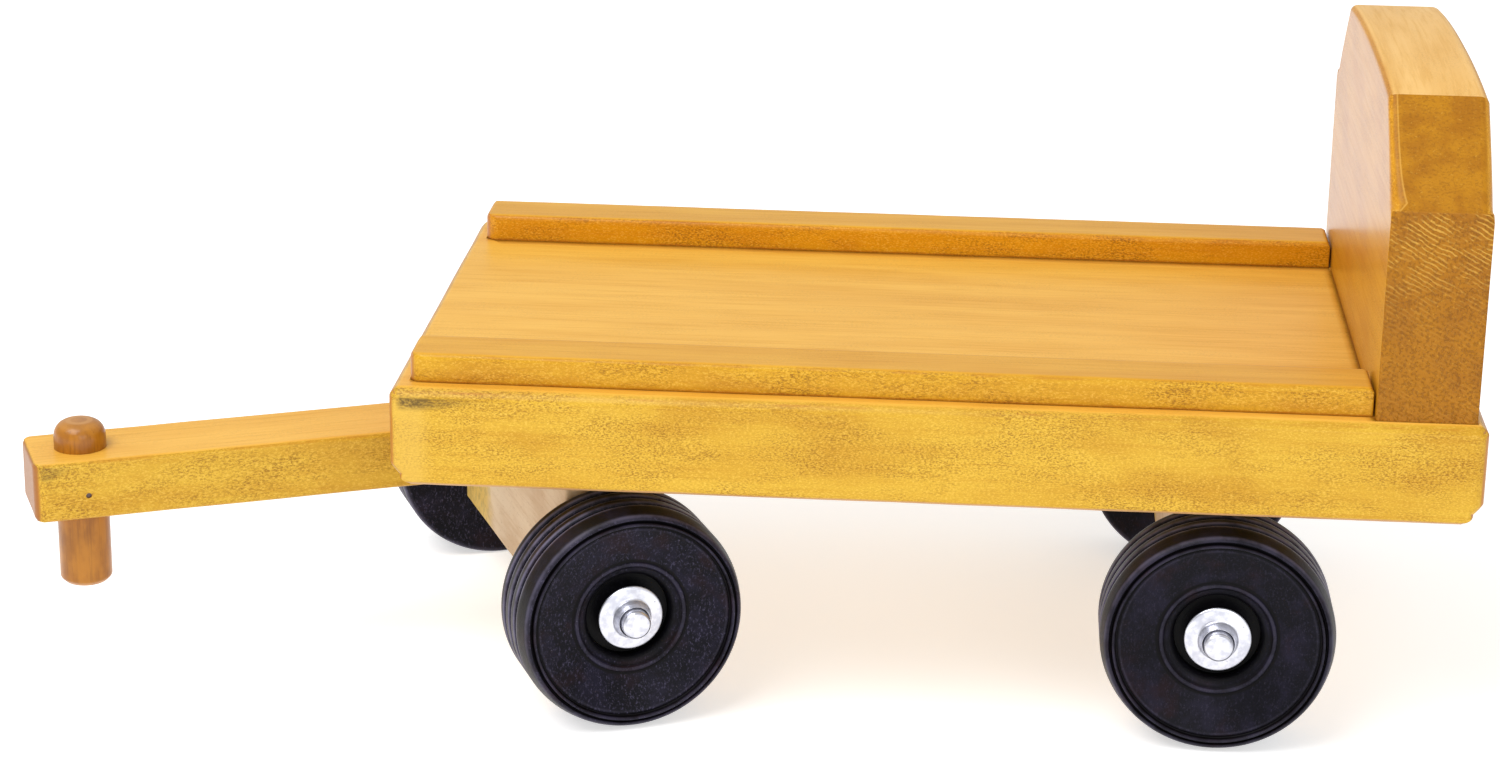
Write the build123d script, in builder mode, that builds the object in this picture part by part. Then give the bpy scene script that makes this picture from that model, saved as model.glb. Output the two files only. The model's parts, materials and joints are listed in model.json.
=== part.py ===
"""Wooden toy wagon: a flat deck on four turned wheels, with a steered front carriage and a pull bar.

The wagon stands on Z = 0 and faces -X. The front carriage is stored turned to the wagon's left.
"""
import os
from math import cos, radians, sin

from build123d import *

os.makedirs("parts", exist_ok=True)

# Fits, in millimetres: glued or pressed pieces, turning pieces, and faces that slide or stay apart.
snug = 0.03
running = 0.08
apart = 0.05

# Wheels, axles and push nuts
wheel_radius = 25.4
wheel_width = 19.0
wheel_inner_face = 47.0
tread_edge = 0.8
shoulder_width = 2.9
shoulder_drop = 2.0
rim_groove_radius = 22.9
rim_groove = 0.5
disc_radius = 22.0
disc_depth = 0.8
hub_radius = 12.2
hub_depth = 3.9
hub_ring = 0.5
counterbore_radius = 8.7
counterbore_lip = 5.6
counterbore_depth = 7.4
tread_grooves = (2.6, 4.9, 7.2)
tread_groove = 0.55
axle_radius = 3.175
axle_half_length = 67.5
axle_end_chamfer = 0.5
nut_radius = 7.3
nut_sleeve_radius = 5.2
nut_collar_radius = 4.1
nut_rim = 0.8
nut_cone_rise = 1.3
nut_collar_height = 1.6
nut_round = 0.5
end_play = 0.3
thrust_washer_radius = 6.5
thrust_washer_thickness = 1.6

# Deck, rails and backboard
deck_length = 232.6
deck_width = 135.0
deck_thickness = 22.0
deck_above_axle = 52.0
deck_top_chamfer = 1.7
deck_corner_round = 2.5
deck_end_chamfer = 4.0
deck_bottom_chamfer = 0.8
rebate_depth = 0.3
rail_width = 14.2
rail_height = 6.3
rail_inset = 5.0
rail_setback = 3.8
rail_end_round = 3.0
rail_edge_round = 1.0
backboard_thickness = 21.2
backboard_setback = 2.5
backboard_half_width = 65.0
backboard_gap = 0.4
facet_bottom = 45.6
kink_height = 65.3
kink_half_width = 44.5
crown_shoulder_height = 66.7
crown_shoulder_half_width = 28.0
crown_height = 67.3
kink_round = 1.5
inner_edge_round = 1.8
outer_edge_round = 2.4

# Axle blocks
block_thickness = 19.5
block_length = 89.7
block_below_axle = 9.1
block_edge = 0.8
rear_axle_from_tail = 53.6

# Steering: the pivot is on the deck's centreline, behind the front axle
pivot_from_tail = 190.4
axle_lead = 16.0
stored_turn = 23.1
steering_washer_thickness = 0.4
steering_washer_radius = 9.0
pivot_shank_radius = 2.5
pivot_bite = 15.0
pivot_washer_radius = 5.5
pivot_washer_thickness = 1.0
pivot_head_radius = 4.4
pivot_head_height = 3.0

# Pull bar and hitch peg
bar_width = 21.6
bar_height = 13.6
bar_reach = 136.3
bar_tail = 14.0
bar_end_round = 3.0
bar_edge_round = 1.0
peg_reach = 124.6
peg_radius = 5.75
peg_stand = 6.2
peg_drop = 18.0
peg_round = 2.2
peg_foot_chamfer = 1.2
peg_neck = 0.25
peg_neck_below_bar = 0.8
brad_radius = 0.6
brad_length = 15.0
brad_below_bar_top = 8.0
brad_sink = 0.4

# Hidden fasteners
bar_screw_spacing = 10.0
bar_screw_radius = 1.75
bar_screw_head_radius = 3.3
bar_screw_length = 22.0
board_screw_spacing = 45.0
board_screw_radius = 2.1
board_screw_head_radius = 4.1
board_screw_length = 40.0
countersink_angle = 90
screw_point_radius = 0.3
recess_radius = 1.6
recess_width = 0.7
recess_depth = 1.1
dowel_radius = 4.0
dowel_spacing = 50.0
dowel_in_deck = 12.0
dowel_in_block = 14.0
dowel_end_gap = 0.5

# Levels above the floor
axle_z = wheel_radius
deck_top = axle_z + deck_above_axle
deck_bottom = deck_top - deck_thickness
bar_top = deck_bottom - steering_washer_thickness - 2 * apart
bar_bottom = bar_top - bar_height
block_bottom = axle_z - block_below_axle

# The origin is the middle of the whole wagon's footprint, with the carriage turned as stored
turn = radians(stored_turn)
front_reach = (
    (bar_reach - bar_end_round) * cos(turn) + (bar_width / 2 - bar_end_round) * sin(turn) + bar_end_round
)
half_length = (pivot_from_tail + front_reach) / 2
wheel_outer_face = wheel_inner_face + wheel_width
left_reach = axle_lead * sin(turn) + wheel_outer_face * cos(turn) + disc_radius * sin(turn)
centre_y = (left_reach - deck_width / 2) / 2
tail_x = half_length
pivot_x = tail_x - pivot_from_tail
rear_axle_x = tail_x - rear_axle_from_tail
deck_middle_x = tail_x - deck_length / 2
board_inner_x = tail_x - backboard_setback - backboard_thickness
board_middle_x = board_inner_x + backboard_thickness / 2
rail_front = tail_x - deck_length + rail_setback
rail_length = board_inner_x - backboard_gap - rail_front
rail_middle_x = rail_front + rail_length / 2
rail_offset = deck_width / 2 - rail_inset - rail_width / 2
rebate_floor = deck_top - rebate_depth

# The carriage plane stands on the floor under the pivot. Its -X runs along the bar, -Y to the left wheel.
carriage = Plane(origin=(pivot_x, centre_y, 0), x_dir=(cos(turn), sin(turn), 0), z_dir=(0, 0, 1))


def level(x, z):
    """A horizontal plane on the wagon's centreline."""
    return Plane(origin=(x, centre_y, z), x_dir=(1, 0, 0), z_dir=(0, 0, 1))


def carriage_level(x, z):
    """A horizontal plane on the turned carriage's centreline, x behind the pivot."""
    return Plane(origin=carriage.from_local_coords((x, 0, z)), x_dir=carriage.x_dir, z_dir=(0, 0, 1))


def axial(centre, outward, start):
    """A plane that holds an axle line: local X runs outward from start, and local Y is the radius."""
    return Plane(origin=centre + outward * start, x_dir=outward, z_dir=outward.cross(Vector(0, 0, 1)))


def spin_axis(plane):
    return Axis(plane.origin, plane.x_dir)


def finish(part, name):
    part.label = name
    export_step(part, f"parts/{name}.step")


# Places that two pieces share
board_screw_planes = [
    Plane(
        origin=(board_middle_x, centre_y + step * board_screw_spacing, deck_bottom),
        x_dir=(1, 0, 0),
        z_dir=(0, 0, -1),
    )
    for step in (-1, 0, 1)
]
bar_screw_planes = [
    Plane(
        origin=carriage.from_local_coords((-axle_lead, side * bar_screw_spacing / 2, bar_top)),
        x_dir=carriage.x_dir,
        z_dir=(0, 0, 1),
    )
    for side in (-1, 1)
]
dowel_places = [(0, -dowel_spacing / 2), (0, dowel_spacing / 2)]
brad_plane = Plane(
    origin=carriage.from_local_coords((-peg_reach, -bar_width / 2, bar_top - brad_below_bar_top)),
    x_dir=carriage.x_dir,
    z_dir=-carriage.y_dir,
)

# ---------------------------------------------------------------- deck and what is fixed on it

with BuildPart() as deck_board:
    with BuildSketch(level(deck_middle_x, deck_bottom)):
        Rectangle(deck_length, deck_width)
    extrude(amount=deck_thickness)
    end_edges = deck_board.faces().sort_by(Axis.Z)[0].edges().filter_by(Axis.Y)
    chamfer(end_edges, length=deck_end_chamfer)
    upright_edges = deck_board.edges().filter_by(Axis.Z)
    fillet(upright_edges, radius=deck_corner_round)
    chamfer(deck_board.faces().sort_by(Axis.Z)[-1].edges(), length=deck_top_chamfer)
    long_edges = deck_board.faces().sort_by(Axis.Z)[0].edges().filter_by(Axis.X)
    chamfer(long_edges, length=deck_bottom_chamfer)
    # The rails and the backboard are glued into shallow rebates
    with BuildSketch(level(0, rebate_floor)) as rebates:
        with Locations((rail_middle_x, -rail_offset), (rail_middle_x, rail_offset)):
            Rectangle(rail_length + 2 * snug, rail_width + 2 * snug)
        fillet(rebates.vertices().group_by(Axis.X)[0], radius=rail_end_round)
        with Locations((board_middle_x, 0)):
            Rectangle(backboard_thickness + 2 * snug, 2 * backboard_half_width + 2 * snug)
    extrude(amount=rebate_depth, mode=Mode.SUBTRACT)
    with Locations(*board_screw_planes):
        CounterSinkHole(
            board_screw_radius + snug, board_screw_head_radius + snug, board_screw_length, countersink_angle
        )
    with Locations(level(rear_axle_x, deck_bottom)):
        with Locations(*dowel_places):
            Cylinder(
                dowel_radius + snug,
                dowel_in_deck + dowel_end_gap,
                align=(Align.CENTER, Align.CENTER, Align.MIN),
                mode=Mode.SUBTRACT,
            )
    with Locations(level(pivot_x, deck_bottom)):
        Cylinder(
            pivot_shank_radius + snug,
            pivot_bite + dowel_end_gap,
            align=(Align.CENTER, Align.CENTER, Align.MIN),
            mode=Mode.SUBTRACT,
        )
finish(deck_board.part, "deck_board")

for rail_name, side in (("left_side_rail", -1), ("right_side_rail", 1)):
    rail_plane = Plane(
        origin=(rail_middle_x, centre_y + side * rail_offset, rebate_floor),
        x_dir=(1, 0, 0),
        z_dir=(0, 0, 1),
    )
    with BuildPart() as side_rail:
        with BuildSketch(rail_plane):
            Rectangle(rail_length, rail_width)
        extrude(amount=rebate_depth + rail_height)
        front_corners = side_rail.edges().filter_by(Axis.Z).group_by(Axis.X)[0]
        fillet(front_corners, radius=rail_end_round)
        top_face = side_rail.faces().sort_by(Axis.Z)[-1]
        back_edge = top_face.edges().filter_by(Axis.Y).sort_by(Axis.X)[-1]
        fillet(top_face.edges() - ShapeList([back_edge]), radius=rail_edge_round)
    finish(side_rail.part, rail_name)

with BuildPart() as backboard:
    with BuildSketch(Plane(origin=(board_inner_x, centre_y, deck_top), x_dir=(0, 1, 0), z_dir=(1, 0, 0))):
        with BuildLine():
            Polyline(
                (-kink_half_width, kink_height),
                (-backboard_half_width, facet_bottom),
                (-backboard_half_width, -rebate_depth),
                (backboard_half_width, -rebate_depth),
                (backboard_half_width, facet_bottom),
                (kink_half_width, kink_height),
            )
            Spline(
                (kink_half_width, kink_height),
                (crown_shoulder_half_width, crown_shoulder_height),
                (0, crown_height),
                (-crown_shoulder_half_width, crown_shoulder_height),
                (-kink_half_width, kink_height),
            )
        make_face()
    extrude(amount=backboard_thickness)
    long_edges = backboard.edges().filter_by(Axis.X)
    kinks = long_edges.filter_by(lambda edge: edge.center().Z > deck_top + facet_bottom / 2)
    fillet(kinks, radius=kink_round)
    rim = backboard.edges().filter_by(
        lambda edge: edge.center().Z > deck_top + facet_bottom and edge.bounding_box().size.X < backboard_gap
    )
    inner_rim, outer_rim = (rim.group_by(Axis.X)[side] for side in (0, -1))
    fillet(inner_rim, radius=inner_edge_round)
    fillet(outer_rim, radius=outer_edge_round)
    with Locations(*board_screw_planes):
        Hole(board_screw_radius + snug, board_screw_length)
finish(backboard.part, "backboard")

below = (Align.CENTER, Align.CENTER, Align.MAX)
for screws_name, planes, radius, head_radius, length in (
    ("backboard_screws", board_screw_planes, board_screw_radius, board_screw_head_radius, board_screw_length),
    ("drawbar_screws", bar_screw_planes, bar_screw_radius, bar_screw_head_radius, bar_screw_length),
):
    point_length = 2 * radius
    with BuildPart() as screws:
        with Locations(*planes):
            Cylinder(radius, length - point_length, align=below)
            Cone(radius, head_radius, head_radius - radius, align=below)
        with Locations(*[plane.offset(point_length - length) for plane in planes]):
            Cone(screw_point_radius, radius, point_length, align=below)
        with Locations(*planes):
            Box(2 * recess_radius, recess_width, recess_depth, align=below, mode=Mode.SUBTRACT)
            Box(recess_width, 2 * recess_radius, recess_depth, align=below, mode=Mode.SUBTRACT)
    finish(screws.part, screws_name)

# ---------------------------------------------------------------- rear axle block

with BuildPart() as rear_axle_block:
    with BuildSketch(level(rear_axle_x, block_bottom)):
        Rectangle(block_thickness, block_length)
    extrude(amount=deck_bottom - block_bottom)
    chamfer(rear_axle_block.faces().sort_by(Axis.Z)[0].edges(), length=block_edge)
    with Locations(level(rear_axle_x, deck_bottom)):
        with Locations(*dowel_places):
            Cylinder(
                dowel_radius + snug,
                dowel_in_block + dowel_end_gap,
                align=(Align.CENTER, Align.CENTER, Align.MAX),
                mode=Mode.SUBTRACT,
            )
    with Locations(level(rear_axle_x, axle_z)):
        Cylinder(axle_radius + snug, block_length, rotation=(90, 0, 0), mode=Mode.SUBTRACT)
finish(rear_axle_block.part, "rear_axle_block")

with BuildPart() as rear_block_dowels:
    with BuildSketch(level(rear_axle_x, deck_bottom - dowel_in_block)):
        with Locations(*dowel_places):
            Circle(dowel_radius)
    extrude(amount=dowel_in_block + dowel_in_deck)
    chamfer(rear_block_dowels.edges().filter_by(GeomType.CIRCLE), length=dowel_end_gap)
finish(rear_block_dowels.part, "rear_block_dowels")

# ---------------------------------------------------------------- front carriage, turned as stored

with BuildPart() as front_axle_block:
    with BuildSketch(carriage_level(-axle_lead, block_bottom)):
        Rectangle(block_thickness, block_length)
    extrude(amount=bar_top - block_bottom)
    chamfer(front_axle_block.faces().sort_by(Axis.Z)[0].edges(), length=block_edge)
    with BuildSketch(carriage_level(-axle_lead, bar_bottom - snug)):
        Rectangle(block_thickness + 2 * apart, bar_width + 2 * snug)
    extrude(amount=bar_height + 2 * snug, mode=Mode.SUBTRACT)
    with Locations(carriage_level(-axle_lead, axle_z)):
        Cylinder(axle_radius + snug, block_length, rotation=(90, 0, 0), mode=Mode.SUBTRACT)
    with Locations(*bar_screw_planes):
        Hole(bar_screw_radius + snug, bar_screw_length)
finish(front_axle_block.part, "front_axle_block")

with BuildPart() as drawbar:
    with BuildSketch(carriage_level((bar_tail - bar_reach) / 2, bar_bottom)):
        RectangleRounded(bar_reach + bar_tail, bar_width, bar_end_round)
    extrude(amount=bar_height)
    fillet(drawbar.faces().sort_by(Axis.Z)[-1].edges(), radius=bar_edge_round)
    fillet(drawbar.faces().sort_by(Axis.Z)[0].edges(), radius=bar_edge_round)
    with Locations(carriage_level(0, bar_bottom)):
        Cylinder(
            pivot_shank_radius + running,
            bar_height,
            align=(Align.CENTER, Align.CENTER, Align.MIN),
            mode=Mode.SUBTRACT,
        )
    with Locations(carriage_level(-peg_reach, bar_bottom)):
        Cylinder(
            peg_radius + snug,
            bar_height,
            align=(Align.CENTER, Align.CENTER, Align.MIN),
            mode=Mode.SUBTRACT,
        )
    with BuildSketch(brad_plane):
        Circle(brad_radius + snug)
    extrude(amount=-brad_length - brad_sink, mode=Mode.SUBTRACT)
    with Locations(*bar_screw_planes):
        CounterSinkHole(
            bar_screw_radius + snug, bar_screw_head_radius + snug, bar_screw_length, countersink_angle
        )
finish(drawbar.part, "drawbar")

with BuildPart() as hitch_peg:
    with BuildSketch(carriage_level(-peg_reach, bar_bottom - peg_drop)):
        Circle(peg_radius)
    extrude(amount=peg_drop + bar_height + peg_stand)
    fillet(hitch_peg.faces().sort_by(Axis.Z)[-1].edges(), radius=peg_round)
    chamfer(hitch_peg.faces().sort_by(Axis.Z)[0].edges(), length=peg_foot_chamfer)
    # A shallow neck holds the glue
    with BuildSketch(carriage_level(-peg_reach, bar_bottom - peg_neck_below_bar)):
        Circle(2 * peg_radius)
        Circle(peg_radius - peg_neck, mode=Mode.SUBTRACT)
    extrude(amount=bar_height, mode=Mode.SUBTRACT)
    with BuildSketch(brad_plane):
        Circle(brad_radius + snug)
    extrude(amount=-brad_length - brad_sink, mode=Mode.SUBTRACT)
finish(hitch_peg.part, "hitch_peg")

with BuildPart() as peg_brad:
    with BuildSketch(brad_plane.offset(-brad_sink)):
        Circle(brad_radius)
    extrude(amount=-brad_length)
finish(peg_brad.part, "peg_brad")

with BuildPart() as steering_washer:
    with BuildSketch(carriage_level(0, bar_top + apart)):
        Circle(steering_washer_radius)
        Circle(pivot_shank_radius + running, mode=Mode.SUBTRACT)
    extrude(amount=steering_washer_thickness)
finish(steering_washer.part, "steering_washer")

pivot_washer_top = bar_bottom - apart
head_top = pivot_washer_top - pivot_washer_thickness
with BuildPart() as kingpin_washer:
    with BuildSketch(level(pivot_x, head_top)):
        Circle(pivot_washer_radius)
        Circle(pivot_shank_radius + snug, mode=Mode.SUBTRACT)
    extrude(amount=pivot_washer_thickness)
finish(kingpin_washer.part, "kingpin_washer")

with BuildPart() as kingpin_screw:
    with BuildSketch(level(pivot_x, head_top - pivot_head_height)):
        Circle(pivot_head_radius)
    extrude(amount=pivot_head_height)
    fillet(kingpin_screw.faces().sort_by(Axis.Z)[0].edges(), radius=pivot_head_height / 2)
    with BuildSketch(level(pivot_x, head_top)):
        Circle(pivot_shank_radius)
    extrude(amount=deck_bottom + pivot_bite - head_top)
    chamfer(kingpin_screw.faces().sort_by(Axis.Z)[-1].edges(), length=pivot_shank_radius / 2)
    with Locations(level(pivot_x, head_top - pivot_head_height)):
        Box(2 * recess_radius, recess_width, 2 * recess_depth, mode=Mode.SUBTRACT)
        Box(recess_width, 2 * recess_radius, 2 * recess_depth, mode=Mode.SUBTRACT)
finish(kingpin_screw.part, "kingpin_screw")

# ---------------------------------------------------------------- axles, wheels, washers and push nuts

leftward = Vector(0, -1, 0)
turned_leftward = -carriage.y_dir
rear_centre = Vector(rear_axle_x, centre_y, axle_z)
front_centre = carriage.from_local_coords(Vector(-axle_lead, 0, axle_z))

for rod_name, centre, outward in (
    ("front_axle_rod", front_centre, turned_leftward),
    ("rear_axle_rod", rear_centre, leftward),
):
    with BuildPart() as axle_rod:
        with BuildSketch(Plane(origin=centre - outward * axle_half_length, z_dir=outward)):
            Circle(axle_radius)
        extrude(amount=2 * axle_half_length)
        chamfer(axle_rod.edges().filter_by(GeomType.CIRCLE), length=axle_end_chamfer)
    finish(axle_rod.part, rod_name)

# Distances along the axle from the wheel's inner face
disc_face = wheel_width - disc_depth
hub_face = wheel_width - hub_depth
lip_face = wheel_width - counterbore_lip
counterbore_floor = wheel_width - counterbore_depth
shoulder_start = wheel_width - shoulder_width
nut_sleeve_start = wheel_inner_face + counterbore_floor + end_play
nut_flange_start = wheel_inner_face + hub_face - nut_rim / 2
groove_bottom = wheel_radius - 2 * tread_groove

corners = (
    ("front_left", front_centre, turned_leftward),
    ("front_right", front_centre, -turned_leftward),
    ("rear_left", rear_centre, leftward),
    ("rear_right", rear_centre, -leftward),
)
for corner, centre, outward in corners:
    wheel_plane = axial(centre, outward, wheel_inner_face)
    with BuildPart() as wheel:
        with BuildSketch(wheel_plane):
            with BuildLine():
                Polyline(
                    (counterbore_floor, axle_radius + running),
                    (0, axle_radius + running),
                    (0, wheel_radius - tread_edge),
                    (tread_edge, wheel_radius),
                    (shoulder_start, wheel_radius),
                )
                RadiusArc(
                    (shoulder_start, wheel_radius),
                    (wheel_width - rim_groove, wheel_radius - shoulder_drop),
                    shoulder_width + rim_groove,
                )
                Polyline(
                    (wheel_width - rim_groove, wheel_radius - shoulder_drop),
                    (wheel_width - 2 * rim_groove, rim_groove_radius),
                    (wheel_width, rim_groove_radius - rim_groove),
                    (wheel_width, disc_radius + rim_groove / 2),
                    (disc_face, disc_radius),
                )
                Spline(
                    (disc_face, disc_radius),
                    ((disc_face + 2 * hub_face) / 3, (disc_radius + hub_radius) / 2),
                    (hub_face, hub_radius + hub_ring),
                )
                Polyline(
                    (hub_face, hub_radius + hub_ring),
                    (hub_face + hub_ring, hub_radius),
                    (hub_face, hub_radius - hub_ring),
                    (lip_face, counterbore_radius),
                    (counterbore_floor, counterbore_radius),
                    (counterbore_floor, axle_radius + running),
                )
            make_face()
            for place in tread_grooves:
                with Locations((place, wheel_radius)):
                    Rectangle(2 * tread_groove, 2 * (wheel_radius - groove_bottom), mode=Mode.SUBTRACT)
        revolve(axis=spin_axis(wheel_plane))
    finish(wheel.part, f"{corner}_wheel")

    washer_plane = axial(centre, outward, (block_length / 2 + wheel_inner_face - thrust_washer_thickness) / 2)
    with BuildPart() as thrust_washer:
        with BuildSketch(Plane(origin=washer_plane.origin, z_dir=outward)):
            Circle(thrust_washer_radius)
            Circle(axle_radius + snug, mode=Mode.SUBTRACT)
        extrude(amount=thrust_washer_thickness)
    finish(thrust_washer.part, f"{corner}_washer")

    nut_plane = axial(centre, outward, nut_flange_start)
    with BuildPart() as push_nut:
        with BuildSketch(nut_plane):
            with BuildLine():
                Polyline(
                    (nut_sleeve_start - nut_flange_start, axle_radius + snug),
                    (nut_sleeve_start - nut_flange_start, nut_sleeve_radius),
                    (0, nut_sleeve_radius),
                    (0, nut_radius),
                    (nut_rim, nut_radius),
                    (nut_rim + nut_cone_rise, nut_collar_radius),
                    (nut_rim + nut_cone_rise + nut_collar_height - nut_round, nut_collar_radius),
                    (nut_rim + nut_cone_rise + nut_collar_height, nut_collar_radius - nut_round),
                    (nut_rim + nut_cone_rise + nut_collar_height, axle_radius + snug),
                    close=True,
                )
            make_face()
        revolve(axis=spin_axis(nut_plane))
    finish(push_nut.part, f"{corner}_push_nut")
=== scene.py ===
import json
from math import cos, pi, radians, sin

import bpy
import numpy as np
from mathutils import Matrix, Vector, noise


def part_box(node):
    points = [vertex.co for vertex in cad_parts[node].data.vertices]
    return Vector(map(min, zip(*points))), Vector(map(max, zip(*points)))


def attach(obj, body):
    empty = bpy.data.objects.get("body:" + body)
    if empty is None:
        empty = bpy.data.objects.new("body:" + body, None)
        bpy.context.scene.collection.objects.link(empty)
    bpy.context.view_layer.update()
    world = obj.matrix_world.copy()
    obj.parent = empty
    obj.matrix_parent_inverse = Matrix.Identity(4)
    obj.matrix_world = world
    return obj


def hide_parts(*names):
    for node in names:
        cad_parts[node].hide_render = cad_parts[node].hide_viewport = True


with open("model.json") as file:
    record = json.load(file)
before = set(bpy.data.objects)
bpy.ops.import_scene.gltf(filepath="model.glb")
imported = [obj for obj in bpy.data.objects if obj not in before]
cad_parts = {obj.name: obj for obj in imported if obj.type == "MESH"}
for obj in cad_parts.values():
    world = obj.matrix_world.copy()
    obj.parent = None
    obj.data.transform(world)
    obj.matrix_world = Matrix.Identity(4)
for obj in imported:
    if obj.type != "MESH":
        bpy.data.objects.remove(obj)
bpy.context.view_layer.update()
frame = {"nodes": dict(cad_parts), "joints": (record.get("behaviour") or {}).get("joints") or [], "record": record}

mm = 0.001

# ---------------------------------------------------------------- where the frame puts things

mounts = {mount["name"]: mount for mount in frame["record"]["mounts"]}
joints = {joint["name"]: joint for joint in frame["joints"]}
steering_pivot = Vector(joints["steering"]["pos_m"])
peg_place = Vector(mounts["hitch_pin"]["pos_m"])


def axes_at(origin, x_axis):
    """A frame that stands upright at origin, with its X along x_axis."""
    x = Vector((x_axis[0], x_axis[1], 0)).normalized()
    y = Vector((0, 0, 1)).cross(x)
    rotation = Matrix((x, y, Vector((0, 0, 1)))).transposed().to_4x4()
    return Matrix.Translation(Vector((origin[0], origin[1], 0))) @ rotation


def extent(node, place):
    """Lowest and highest corner of a CAD node along the axes of place."""
    inverse = place.inverted()
    points = np.array([inverse @ vertex.co for vertex in frame["nodes"][node].data.vertices])
    return points.min(0), points.max(0)


# The wagon's own frame, and the steered carriage's: -X is forward and -Y is left in both
wagon_place = axes_at((0, steering_pivot.y), (1, 0))
carriage_place = axes_at(steering_pivot, steering_pivot - peg_place)

deck_low, deck_high = extent("deck_board", wagon_place)
rail_low, rail_high = extent("right_side_rail", wagon_place)
board_low, board_high = extent("backboard", wagon_place)
bar_low, bar_high = extent("drawbar", carriage_place)
deck_top = deck_high[2]

# ---------------------------------------------------------------- meshes


def make_piece(name, points, faces, place, body, nodes, material, hard_angle=180):
    """A smooth piece at place that rides on body and stands for CAD nodes, sharp past hard_angle degrees."""
    mesh = bpy.data.meshes.new(name)
    mesh.from_pydata([tuple(point) for point in points], [], faces)
    mesh.shade_smooth()
    if hard_angle < 180:
        mesh.set_sharp_from_angle(angle=radians(hard_angle))
    piece = bpy.data.objects.new(name, mesh)
    bpy.context.scene.collection.objects.link(piece)
    piece.matrix_world = place
    mesh.materials.append(material)
    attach(piece, body)
    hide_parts(*nodes)
    return piece


def cut_lines(low, high, reach, fine, coarse):
    """Positions from low to high, fine apart within reach of the ends and coarse apart between them."""
    reach = min(reach, (high - low) / 2)
    near = np.linspace(0, reach, max(2, round(reach / fine) + 1))
    middle_length = high - low - 2 * reach
    middle = np.linspace(low + reach, high - reach, max(2, round(middle_length / coarse) + 1))
    return np.unique(np.round(np.concatenate([low + near, middle, high - near]), 7))


def box_grid(lines):
    """Points and quads of a box whose faces are cut along the given lines of each axis."""
    quads = []
    for axis in range(3):
        u, v = (axis + 1) % 3, (axis + 2) % 3
        last = len(lines[axis]) - 1
        for end in (0, last):
            i, j = np.meshgrid(range(len(lines[u]) - 1), range(len(lines[v]) - 1), indexing="ij")
            corners = np.zeros((*i.shape, 4, 3), int)
            for n, (di, dj) in enumerate(((0, 0), (1, 0), (1, 1), (0, 1))):
                corners[..., n, axis] = end
                corners[..., n, u] = i + di
                corners[..., n, v] = j + dj
            if end == 0:
                corners = corners[..., ::-1, :]
            quads.append(corners.reshape(-1, 4, 3))
    keys, index = np.unique(np.concatenate(quads).reshape(-1, 3), axis=0, return_inverse=True)
    points = np.stack([lines[axis][keys[:, axis]] for axis in range(3)], axis=1)
    return points, index.reshape(-1, 4).tolist()


def ease(points, low, high, pair, end, radius, power):
    """Eases the box edges where the pair's two axes meet. Power 2 is round, and near 1 is a chamfer.

    End is 1 or -1 for the high or low end of the second axis, or 0 for both.
    """
    a, b = ("xyz".index(letter) for letter in pair)
    ends = (1, -1) if end == 0 else (end,)
    for side in ends:
        depth_a = np.minimum(points[:, a] - low[a], high[a] - points[:, a])
        depth_b = (high[b] - points[:, b]) if side > 0 else (points[:, b] - low[b])
        share_a = 1 - depth_a / radius
        share_b = 1 - depth_b / radius
        near = (share_a > 0) & (share_b > 0)
        share_a, share_b = share_a[near], share_b[near]
        pull = np.maximum(share_a, share_b) / (share_a**power + share_b**power) ** (1 / power)
        new_a = radius * (1 - share_a * pull)
        new_b = radius * (1 - share_b * pull)
        middle = (low[a] + high[a]) / 2
        points[near, a] = np.where(points[near, a] < middle, low[a] + new_a, high[a] - new_a)
        points[near, b] = high[b] - new_b if side > 0 else low[b] + new_b


def wear(piece, amount, size, seed):
    """Sinks the surface by up to amount, in soft hollows of about size, as hand sanding does."""
    mesh = piece.data
    shift = Vector((seed, 2 * seed, 3 * seed))
    normals = [vertex.normal.copy() for vertex in mesh.vertices]
    for vertex, normal in zip(mesh.vertices, normals):
        hollow = 0.5 + 0.5 * noise.noise(vertex.co / size + shift)
        vertex.co -= normal * (amount * hollow)


def mark_edges(piece, closeness):
    """Stores how close each vertex is to an edge of the board, 1 on the edge and 0 on the flats."""
    attribute = piece.data.attributes.new("edge", "FLOAT", "POINT")
    attribute.data.foreach_set("value", closeness.astype(np.float32))


trimmed_sharp_angle = 38


def trim_to(piece, node):
    """Keeps only what lies inside a CAD node, which gives the piece that node's bores and notches."""
    trim = piece.modifiers.new("trim", "BOOLEAN")
    trim.operation = "INTERSECT"
    trim.solver = "EXACT"
    trim.object = frame["nodes"][node]
    untrimmed = piece.data
    graph = bpy.context.evaluated_depsgraph_get()
    piece.data = bpy.data.meshes.new_from_object(piece.evaluated_get(graph))
    piece.modifiers.clear()
    bpy.data.meshes.remove(untrimmed)
    piece.data.shade_smooth()
    piece.data.set_sharp_from_angle(angle=radians(trimmed_sharp_angle))


# A board's mesh is cut finely near its edges and coarsely between them, and sanding leaves soft hollows
edge_zone = 5 * mm
fine_cut = 0.4 * mm
coarse_cut = 3.5 * mm
edge_fade = 1.1 * mm
sanding_depth = 0.12 * mm
sanding_size = 14 * mm


def board(name, low, high, eased, place, body, node, material, seed, bored=False):
    """A sanded board between two corners, with its edges eased as the rows of eased say.

    A bored board is cut to its CAD node, which gives it that node's holes and notches.
    """
    lines = [cut_lines(low[axis], high[axis], edge_zone, fine_cut, coarse_cut) for axis in range(3)]
    points, faces = box_grid(lines)
    depth = np.sort(np.minimum(points - low, high - points), axis=1)[:, 1]
    for pair, end, radius, power in eased:
        ease(points, low, high, pair, end, radius, power)
    piece = make_piece(name, points, faces, place, body, [node], material)
    mark_edges(piece, np.exp(-depth / edge_fade))
    wear(piece, sanding_depth, sanding_size, seed)
    if bored:
        trim_to(piece, node)
    return piece


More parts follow.
